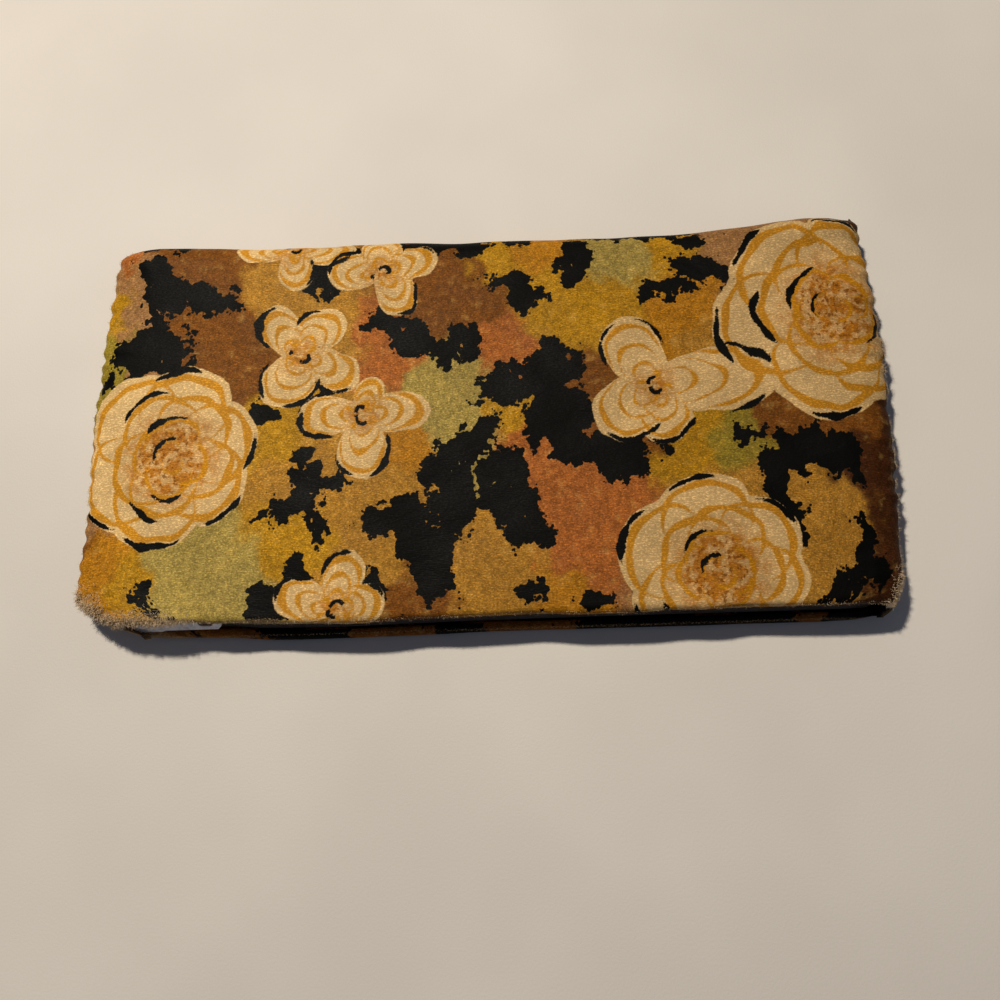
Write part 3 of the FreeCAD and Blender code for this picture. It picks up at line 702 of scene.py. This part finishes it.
def floor_material():
    s = Shader("pale_floor", Roughness=0.62, Specular_IOR_Level=0.35, Sheen_Weight=0.1)
    where = s.place()
    broad = s.noise(where, 0.012, 3.0, 0.5)
    fine = s.noise(s.vector("MULTIPLY", where, (1.6, 1.6, 1.0)), 1.0, 2.0, 0.6)
    s.set("Base Color", s.mix(s.between(broad, 0.3, 0.7), (0.535, 0.50, 0.455), (0.585, 0.55, 0.50)))
    s.set("Normal", s.bump(fine, 0.00012, 0.35, s.bump(s.noise(where, 0.02, 3.0, 0.5), 0.0006, 0.2)))
    return s.material


SATIN = satin_material()
LINING = woven("lining_cloth", (0.33, 0.24, 0.15), (0.44, 0.34, 0.22), 0.9, 0.6, 0.25)
TAPE = woven("zip_tape_cloth", (0.10, 0.075, 0.05), (0.17, 0.13, 0.09), 1.2, 0.85, 0.3)
BRASS = metal("zip_brass", (0.30, 0.20, 0.09), (0.62, 0.47, 0.25), 0.42, 1.0)
STEEL = metal("pull_steel", (0.56, 0.53, 0.53), (0.88, 0.84, 0.83), 0.50, 0.45)
THREAD = fibre_material("sewing_thread", (0.10, 0.07, 0.04), (0.22, 0.16, 0.10))
FUZZ = fibre_material("frayed_fibre", (0.40, 0.28, 0.15), (0.80, 0.60, 0.36))
FLOOR = floor_material()


def paint(obj, material):
    obj.data.materials.clear()
    obj.data.materials.append(material)


def finish_piece(obj, material):
    paint(obj, material)


# -------------------- the pouch's shape


def half_width(side, y):
    """The sides bow out a little between the corners; the right one is cut in towards the mouth."""
    left = np.interp(y, (-52, 0, 20, 54), (101.7, 102.0, 101.8, 99.4))
    right = np.interp(y, (-54, -40, -20, 5, 30, 54), (99.6, 101.4, 102.8, 103.5, 103.3, 101.2))
    return np.where(np.asarray(side) < 0, left, right)


def corner_cut(x, y):
    """How far the plan is cut back at the corners, along x."""
    near = np.clip((-43.0 - y) / 9.0, 0, 1.2)
    far = np.clip((y - 49.0) / 5.0, 0, 1)
    near_cut = np.where(x < 0, 12.5 * near ** 2.0, 2.6 * near ** 3)
    far_cut = np.where(x < 0, 2.4, 1.4) * (1 - np.sqrt(np.clip(1 - far ** 2, 0, 1)))
    return near_cut + far_cut


def from_side(x, y):
    """How far a place is from the pouch's nearest side."""
    return half_width(x, y) - corner_cut(x, y) - np.abs(x)


def near_line(x):
    """How far the hem stands out from the pattern's straight line. It is pulled in over the pull tab."""
    return 0.55 + 0.55 * np.exp(-((x + 35) / 26) ** 2) - 0.6 * step(-52, -64, x)


def far_line(x):
    """How far the fold is pulled in, more and more towards the right."""
    return 4.4 * (1 - np.clip((80 - x) / 170, 0, 1) ** 1.6) - 1.5 * step(60, 92, x)


def far_share(y):
    """How much of the far fold's shift reaches a place."""
    return step(-30, 50, y)


def settle(points):
    """Turns the straight pattern into the worn pouch's plan: its sides, corners, hem and fold."""
    x, y = points[..., 0].copy(), points[..., 1].copy()
    narrower = HALF_WIDTH - half_width(x, y) + corner_cut(x, y)
    points[..., 0] = x - np.sign(x) * narrower * step(60, HALF_WIDTH, np.abs(x))
    points[..., 1] = y - near_line(x) * step(-25, -50, y) - far_line(x) * far_share(y)
    return points


def swell(x, y, seed):
    """Height of the soft waves and of the puckers that the side seams draw in the cloth."""
    side = HALF_WIDTH - np.abs(x)
    broad = 0.24 * waves(x, y, 75, 28, seed) + 0.08 * waves(x, y, 22, 10, seed + 1)
    gather = 0.6 * waves(0.12 * x, y, 12, 6, seed + 2) + waves(0.25 * x, y, 5.0, 2.9, seed + 3)
    draw = np.where(x < 0, 0.26, 0.20) * np.exp(-np.clip(side, 0, None) / 6)
    hem = 0.16 * waves(x, 0.3 * y, 40, 14, seed + 4) * step(-30, -48, y)
    crown = 0.5 * (1 - (x / 104) ** 2) * (1 - (y / 58) ** 2)
    dip = -0.45 * step(14, 3, side)
    return broad + gather * draw + hem + crown + dip


def far_bumps(x, y):
    """The far corners' lumps, the slanting folds at the right one and the dip between them."""
    left = 1.3 * np.exp(-((x + 93) / 7) ** 2 - ((y - 49) / 4) ** 2)
    right = 1.3 * np.exp(-((x - 88) / 9) ** 2 - ((y - 49) / 4) ** 2)
    slope = (y - 30) + 0.8 * (x - 88)
    folds = 0.55 * np.cos(slope * 1.15) * np.exp(-((x - 90) / 7) ** 2 - ((y - 34) / 13) ** 2)
    return left + right + folds - 0.5 * np.exp(-((x - 20) / 45) ** 2 - ((y - 52) / 5) ** 2)


def side_profile(t, half, roll):
    """Places across the pouch: x, and how far a point has gone down to the side seam."""
    over = np.clip((np.abs(t) - (half - roll)) / roll, 0, SIDE_TURN)
    x = np.where(over > 0, np.sign(t) * (half - roll + roll * np.sin(over)), t)
    drop = (1 - np.cos(over)) / (1 - cos(SIDE_TURN))
    flare = np.where(t > 0, 3.0, 0.5)
    return x - np.sign(t) * flare * (1 - drop) * step(half - 22, half - 6, np.abs(t)), drop


def cover_grid(runs, at, cols, inset, seam_z):
    """Points of one face of a cover and where each lies on the cloth; at is each row's length of section."""
    y, z = section(runs, at)
    half = HALF_WIDTH - inset
    roll = SIDE_ROLL - inset
    reach = half - roll + SIDE_TURN * roll
    t = np.linspace(-reach, reach, cols)
    x, drop = side_profile(t, half, roll)
    yy, xx = np.meshgrid(y, x, indexing="ij")
    zz, dd = np.meshgrid(z, drop, indexing="ij")
    edge = seam_z + SQUASH_AT_SEAM * (zz - seam_z)
    zz = zz + (edge - zz) * dd
    cloth = np.stack(np.meshgrid(at, t, indexing="ij")[::-1], 2)
    return np.stack([xx, yy, zz], 2), cloth


FRONT_RUNS = (
    ("line", (-44.5, 8.95), (HEM_Y + HEM_ROLL, TOP - 2 * HEM_ROLL)),
    ("arc", (HEM_Y + HEM_ROLL, TOP - HEM_ROLL), HEM_ROLL, 270, 90),
    ("line", (HEM_Y + HEM_ROLL, TOP), (FOLD_Y, TOP)),
    ("arc", (FOLD_Y, MIDDLE), MIDDLE, 90, FOLD_OVERLAP),
)
FRONT_INNER = (
    ("line", (-44.3, 9.25), (-43.4, 9.7)),
    ("line", (-43.4, 9.7), (FOLD_Y, TOP - QUILT)),
    ("arc", (FOLD_Y, MIDDLE), MIDDLE - QUILT, 90, FOLD_OVERLAP),
)
BACK_RUNS = (
    ("arc", (FOLD_Y, MIDDLE), MIDDLE, -FOLD_OVERLAP, -90),
    ("line", (FOLD_Y, 0), (-52.3, 0)),
    ("arc", (-52.3, 1.65), 1.65, -90, -270),
    ("line", (-52.3, 3.3), (-51.9, 3.3)),
)
BACK_INNER = (
    ("arc", (FOLD_Y, MIDDLE), MIDDLE - QUILT, -FOLD_OVERLAP, -90),
    ("line", (FOLD_Y, QUILT), (-45.0, 1.7)),
    ("line", (-45.0, 1.7), (-46.2, 1.3)),
    ("line", (-46.2, 1.3), (-51.4, 1.3)),
    ("line", (-51.4, 1.3), (-51.9, 2.9)),
)
FINE = 0.56  # spacing of the points on the outside, which carries the print
FACTOR = 4  # how much coarser the inside is


def cover_sizes(runs):
    rows = int(run_length(runs) / FINE / FACTOR) * FACTOR + 1
    reach = HALF_WIDTH - SIDE_ROLL + SIDE_TURN * SIDE_ROLL
    cols = int(2 * reach / FINE / FACTOR) * FACTOR + 1
    return rows, cols


def corner_wear(x, y):
    """1 on the rubbed corner by the pull, fading into the panel."""
    side = from_side(x, y)
    along_hem = step(-66, -84, x) * step(-47.5, -50.5, y)
    return np.maximum(step(9.5, 3.5, side) * step(-40, -47, y) * step(-60, -80, x), along_hem)


def cover(name, runs, inner_runs, row_pairs, seam_z, seed, cloth_from, sign):
    """A padded panel: the printed cloth outside, its padding's inner face inside.

    row_pairs match lengths along the outer section to the inner one's; cloth_from gives the place on the
    print of a length; sign is 1 for the front and -1 for the back.
    """
    rows, cols = cover_sizes(runs)
    length = run_length(runs)
    outer, cloth = cover_grid(runs, np.linspace(0, length, rows), cols, 0, seam_z)
    at_inner = np.interp(np.linspace(0, length, (rows - 1) // FACTOR + 1), *row_pairs)
    inner, _ = cover_grid(inner_runs, at_inner, (cols - 1) // FACTOR + 1, QUILT, seam_z)
    for grid, facing in ((outer, 1.0), (inner, 0.75)):
        x, y = grid[..., 0], grid[..., 1]
        normal = grid_normals(grid)
        if sign > 0:
            out = normal * np.sign(normal[len(grid) // 2, grid.shape[1] // 2, 2])
            lift = swell(x, y, seed) + far_bumps(x, y)
            inside = step(-49.0, -46.5, y)
            hem = inside + (grid[..., 2] > TOP - HEM_ROLL) * (1 - inside)
            lift = lift * np.clip(hem, 0.15, 1)
        else:
            out = -normal * np.sign(normal[len(grid) // 2, grid.shape[1] // 2, 2])
            high = step(0.2, 3.0, grid[..., 2])
            lift = high * (swell(x, y, seed) * 0.8 + 0.5 * far_bumps(x, y))
        grid += out * (lift * facing)[..., None]
        if facing == 1.0:
            share = far_share(grid[..., 1])
            cloth[..., 1] -= far_line(grid[..., 0]) * (share if sign > 0 else 2 - share)
        settle(grid)
        grid[..., 2] = np.maximum(grid[..., 2], LOWEST)
    obj = shell(name, outer, inner)
    flat = cloth.reshape(-1, 2).copy()
    flat[:, 1] = cloth_from(flat[:, 1])
    x, y, z = (np.concatenate([outer[..., i].ravel(), inner[..., i].ravel()]) for i in range(3))
    # Painted shade: the lip below the mouth and the right side's slope are laid brown, for brown print lying
    # in shade.
    brown_and_shade_strip = step(-46.5, -48.0, y) if sign < 0 else 0.999 * step(HALF_WIDTH, HALF_WIDTH + 1.2, x)
    print_on(obj, np.concatenate([flat, inner[..., :2].reshape(-1, 2)]), brown_and_shade_strip)
    wear = np.exp(-np.clip(from_side(x, y), 0, None) / 0.9) * 0.75
    if sign > 0:
        edge = np.exp(-((z - (TOP - HEM_ROLL)) / 1.4) ** 2) * step(-50.0, -51.6, y)
        edge *= np.where(x < -30, 0.75, 0.45)
    else:
        edge = 0.55 * np.exp(-((y + 54) / 0.5) ** 2)
    store(obj, "wear", np.clip(np.maximum(wear, edge) + 0.6 * corner_wear(x, y), 0, 1.2))
    finish_piece(obj, SATIN)
    normals = grid_normals(outer)
    if normals[len(outer) // 2, outer.shape[1] // 2, 2] * sign < 0:
        normals = -normals
    return obj, outer, normals


def set_lift(obj):
    """Bake the piece's placement into its points."""
    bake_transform(obj)


front_length = run_length(FRONT_RUNS)
hem_part = front_length - run_length(FRONT_RUNS[2:])
front_cover, front_points, front_normals = cover(
    "front_panel_cloth", FRONT_RUNS, FRONT_INNER,
    ((0, hem_part, front_length), (0, 1.0, run_length(FRONT_INNER))),
    MIDDLE + SEAM_GAP, 31, lambda s: s - hem_part + HEM_Y + HEM_ROLL, 1)
back_length = run_length(BACK_RUNS)
back_inner_length = run_length(BACK_INNER)
back_cover, _, _ = cover(
    "back_panel_cloth", BACK_RUNS, BACK_INNER,
    ((0, run_length(BACK_RUNS[:1]), back_length - 5.4, back_length),
     (0, run_length(BACK_INNER[:1]), back_inner_length - 2.0, back_inner_length)),
    MIDDLE - SEAM_GAP, 47, lambda s: s + front_length - hem_part + HEM_Y + HEM_ROLL, -1)
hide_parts("front_cover", "front_padding")
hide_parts("back_cover", "back_padding", "cover_fold", "cover_lip")


# -------------------- linings, tapes and the side seams


def sheet_piece(name, runs, rows, cols, half, seam_z, thick, ripple, seed, material):
    """A thin cloth along a section, its ends drawn towards the side seams."""
    y, z = section(runs, np.linspace(0, run_length(runs), rows))
    x = np.linspace(-half, half, cols)
    yy, xx = np.meshgrid(y, x, indexing="ij")
    zz = np.repeat(z[:, None], cols, 1)
    if seam_z is not None:
        pull = step(half - 4.0, half, np.abs(xx))
        zz = zz + (seam_z - zz) * 0.8 * pull
    grid = np.stack([xx, yy, zz], 2)
    normal = grid_normals(grid)
    grid = grid + normal * (ripple * waves(xx, yy, 30, 9, seed))[..., None]
    settle(grid)
    obj = shell(name, grid, grid - grid_normals(grid) * thick)
    finish_piece(obj, material)
    return obj


FRONT_LINING_RUNS = (
    ("line", (-44.4, 8.75), (-40.0, 9.25)), ("line", (-40.0, 9.25), (FOLD_Y, 9.35)),
    ("arc", (FOLD_Y, MIDDLE), 3.6, 90, 3))
BACK_LINING_RUNS = (
    ("arc", (FOLD_Y, MIDDLE), 3.6, -3, -90), ("line", (FOLD_Y, 2.15), (-45.6, 2.15)))
FRONT_TAPE_RUNS = (
    ("line", (-48.3, 6.15), (-46.2, 8.2)), ("line", (-46.2, 8.2), (-45.4, 8.55)),
    ("line", (-45.4, 8.55), (-37.2, 8.85)))
BACK_TAPE_RUNS = (("line", (-45.0, 1.9), (-51.3, 1.9)), ("line", (-51.3, 1.9), (-48.45, 4.45)))

LINING_HALF, TAPE_HALF = 98.6, 98.3
front_lining = sheet_piece("front_lining_cloth", FRONT_LINING_RUNS, 70, 140, LINING_HALF, MIDDLE + 0.4,
                           0.3, 0.06, 61, LINING)
back_lining = sheet_piece("back_lining_cloth", BACK_LINING_RUNS, 70, 140, LINING_HALF, MIDDLE - 0.4,
                          0.3, 0.06, 67, LINING)
front_tape = sheet_piece("front_tape_cloth", FRONT_TAPE_RUNS, 16, 200, TAPE_HALF, None,
                         0.4, 0.03, 71, TAPE)
back_tape = sheet_piece("back_tape_cloth", BACK_TAPE_RUNS, 16, 200, TAPE_HALF, None,
                        0.4, 0.03, 73, TAPE)
for piece, node, runs, half, cover_piece in (
        (front_lining, "front_lining", FRONT_LINING_RUNS, LINING_HALF, "front_panel_cloth"),
        (back_lining, "back_lining", BACK_LINING_RUNS, LINING_HALF, "back_panel_cloth"),
        (front_tape, "front_zipper_tape", FRONT_TAPE_RUNS, TAPE_HALF, "front_panel_cloth"),
        (back_tape, "back_zipper_tape", BACK_TAPE_RUNS, TAPE_HALF, "back_panel_cloth")):
    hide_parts(node)


def side_seam(name, side, seed):
    """The turned seam inside a side: a gathered ridge of cut edges."""
    rows, around = 150, 12
    centre = side * (HALF_WIDTH - 3.4)
    points = []
    for share in np.linspace(0, 1, rows):
        y = -49.5 + share * 96.5
        fade = 0.35 + 0.65 * step(0, 0.04, share) * step(1, 0.96, share)
        wide = fade * (1.15 + 0.12 * sin(y * 1.1 + seed) + 0.08 * sin(y * 2.7))
        tall = fade * (2.3 + 0.25 * sin(y * 0.8 + seed))
        for angle in 2 * pi * np.arange(around) / around:
            c, s = cos(angle), sin(angle)
            points.append((centre + wide * np.sign(c) * abs(c) ** 0.7, y,
                           MIDDLE + tall * np.sign(s) * abs(s) ** 0.7))
    index = np.arange(rows * around).reshape(rows, around)
    after = np.roll(index, -1, axis=1)
    faces = np.stack([index[:-1], after[:-1], after[1:], index[1:]], 2).reshape(-1, 4).tolist()
    faces += [index[0].tolist(), index[-1].tolist()]
    obj = make_object(name, settle(np.array(points)), faces)
    face_outwards(obj)
    finish_piece(obj, LINING)
    return obj


for name, side, node in (("left", -1, "side_seam_left"), ("right", 1, "side_seam_right")):
    seam = side_seam("seam_allowance_" + name, side, 3 * side)
    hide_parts(node)
    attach(seam, "back_panel")

# -------------------- what stays from the frame

for node in ("back_teeth", "back_top_stop", "bottom_stop"):
    paint(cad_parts[node], BRASS)
for node in ("slider_body", "slider_bail", "pull_tab"):
    paint(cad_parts[node], STEEL)


def same_solids(node, name, material, slot, settled=False):
    """A piece with the node's own solids, settled into the worn pouch's plan if they are sewn to it."""
    obj = bpy.data.objects.new(name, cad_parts[node].data.copy())
    bpy.context.scene.collection.objects.link(obj)
    if settled:
        obj.data.vertices.foreach_set("co", (settle(vertices(obj)) * MM).ravel())
    finish_piece(obj, material)
    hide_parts(node)
    return obj


def follow_mouth(*about):
    """A copy of the node's solids, with its placement baked into its points."""
    obj = same_solids(*about)
    set_lift(obj)


follow_mouth("front_teeth", "front_teeth_row", BRASS, "zip_metal")
follow_mouth("front_top_stop", "front_stop", BRASS, "zip_metal")
follow_mouth("front_stitching", "front_stitches", THREAD, "thread", True)
for node, name in (("back_stitching", "back_stitches"), ("side_stitches_left", "left_side_stitches"),
                   ("side_stitches_right", "right_side_stitches")):
    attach(same_solids(node, name, THREAD, "thread", True), "back_panel")

# -------------------- frayed edges

CURL = 0.5  # how much a fibre turns at each of its steps
ROOT_DEPTH = 0.1


def fibre(start, heading, length, rng):
    """One loose fibre's points: it leaves along a direction and curls."""
    steps = 5
    points = [start]
    for _ in range(steps):
        heading = heading + rng.normal(0, CURL, 3)
        heading /= np.linalg.norm(heading)
        points.append(points[-1] + heading * length / steps)
    return np.array(points)


def frayed(name, count, chance, lean, length, radius, seed, body=None):
    """Fibres rooted on the front's cloth, as dense as chance says.

    lean is the direction they are combed in, and how strongly they also stand out of the cloth.
    """
    rng = np.random.default_rng(seed)
    points, normals = front_points.reshape(-1, 3), front_normals.reshape(-1, 3)
    share = chance(*points.T)
    roots = rng.choice(len(points), count, p=share / share.sum())
    paths, radii = [], []
    for root in roots:
        heading = normals[root] * lean[3] + np.array(lean[:3]) + rng.normal(0, 0.35, 3)
        start = points[root] - ROOT_DEPTH * normals[root]
        path = fibre(start, heading, length * rng.uniform(0.4, 1.3), rng)
        path[:, 2] = np.maximum(path[:, 2], ROOT_DEPTH)
        paths.append(path)
        radii.append(radius * rng.uniform(0.7, 1.3))
    obj = tubes(name, paths, radii, 3, 0.5)
    finish_piece(obj, FUZZ)
    if body:
        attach(obj, body)
    return obj


def near_right(x, y, z):
    return np.where(x > 80, step(4.5, 1.0, from_side(x, y)) * step(-40, -48, y), 0.0)


def side_edge(sign):
    return lambda x, y, z: np.where(x * sign > 80, step(1.6, 0.4, from_side(x, y)), 0.0)


def near_left(x, y, z):
    return corner_wear(x, y) * step(5.6, 6.5, z)


def hem_edge(x, y, z):
    return step(-50.9, -51.6, y + 0.5 * near_line(x)) * step(8.8, 10.2, z) * np.where(x < -20, 1.0, 0.6)


frayed("fray_near_left", 3400, near_left, (-0.35, -0.45, 0.0, 0.55), 1.35, 0.055, 5, "back_panel")
frayed("fray_near_right", 520, near_right, (0.5, -0.5, 0.0, 0.5), 1.2, 0.045, 8, "back_panel")
frayed("fray_left", 900, side_edge(-1), (-0.8, 0.0, 0.0, 0.4), 0.8, 0.04, 6, "back_panel")
frayed("fray_right", 800, side_edge(1), (0.8, 0.0, 0.0, 0.4), 1.0, 0.04, 7, "back_panel")
hem_nap = frayed("fray_hem", 1300, hem_edge, (0.0, -0.7, -0.1, 0.4), 0.6, 0.035, 9)

# -------------------- placements baked into the front's pieces, and the back's pieces hung on the back panel

for piece in (front_cover, front_lining, front_tape, hem_nap):
    set_lift(piece)
for piece in (back_cover, back_lining, back_tape):
    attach(piece, "back_panel")

# -------------------- floor, light and camera

corners = [(-2000, -2000, 0), (2000, -2000, 0), (2000, 2000, 0), (-2000, 2000, 0)]
floor = make_object("floor", corners, [[0, 1, 2, 3]], False)
floor.data.materials.append(FLOOR)


def area_light(name, place, size, power, colour):
    """A round light aimed at the pouch, its place and size in metres."""
    light = bpy.data.lights.new(name, "AREA")
    light.shape = "DISK"
    light.size = size
    light.energy = power
    light.color = colour
    obj = bpy.data.objects.new(name, light)
    bpy.context.scene.collection.objects.link(obj)
    obj.location = place
    obj.rotation_euler = (-Vector(place)).to_track_quat("-Z", "Y").to_euler()


area_light("key", (-0.27, 0.42, 0.84), 0.07, 11.2, (1.0, 0.91, 0.78))
area_light("fill", (0.5, -0.7, 1.1), 0.9, 0.5, (0.70, 0.80, 1.0))

world = bpy.data.worlds.new("studio")
world.use_nodes = True
world.node_tree.nodes["Background"].inputs[0].default_value = (0.66, 0.74, 1.0, 1)
world.node_tree.nodes["Background"].inputs[1].default_value = 0.11
bpy.context.scene.world = world
bpy.context.scene.view_settings.view_transform = "Standard"

CAMERA_PLACE = (0.02713, -0.09483, 0.24531)  # metres
CAMERA_ANGLES = (16.752, 5.375, -0.848)  # degrees
camera_data = bpy.data.cameras.new("camera")
camera_data.lens = 36.07
camera_data.sensor_width = 36.0
camera = bpy.data.objects.new("camera", camera_data)
bpy.context.scene.collection.objects.link(camera)
turn = Euler([radians(angle) for angle in CAMERA_ANGLES]).to_matrix().to_4x4()
camera.matrix_world = Matrix.Translation(CAMERA_PLACE) @ turn
bpy.context.scene.camera = camera
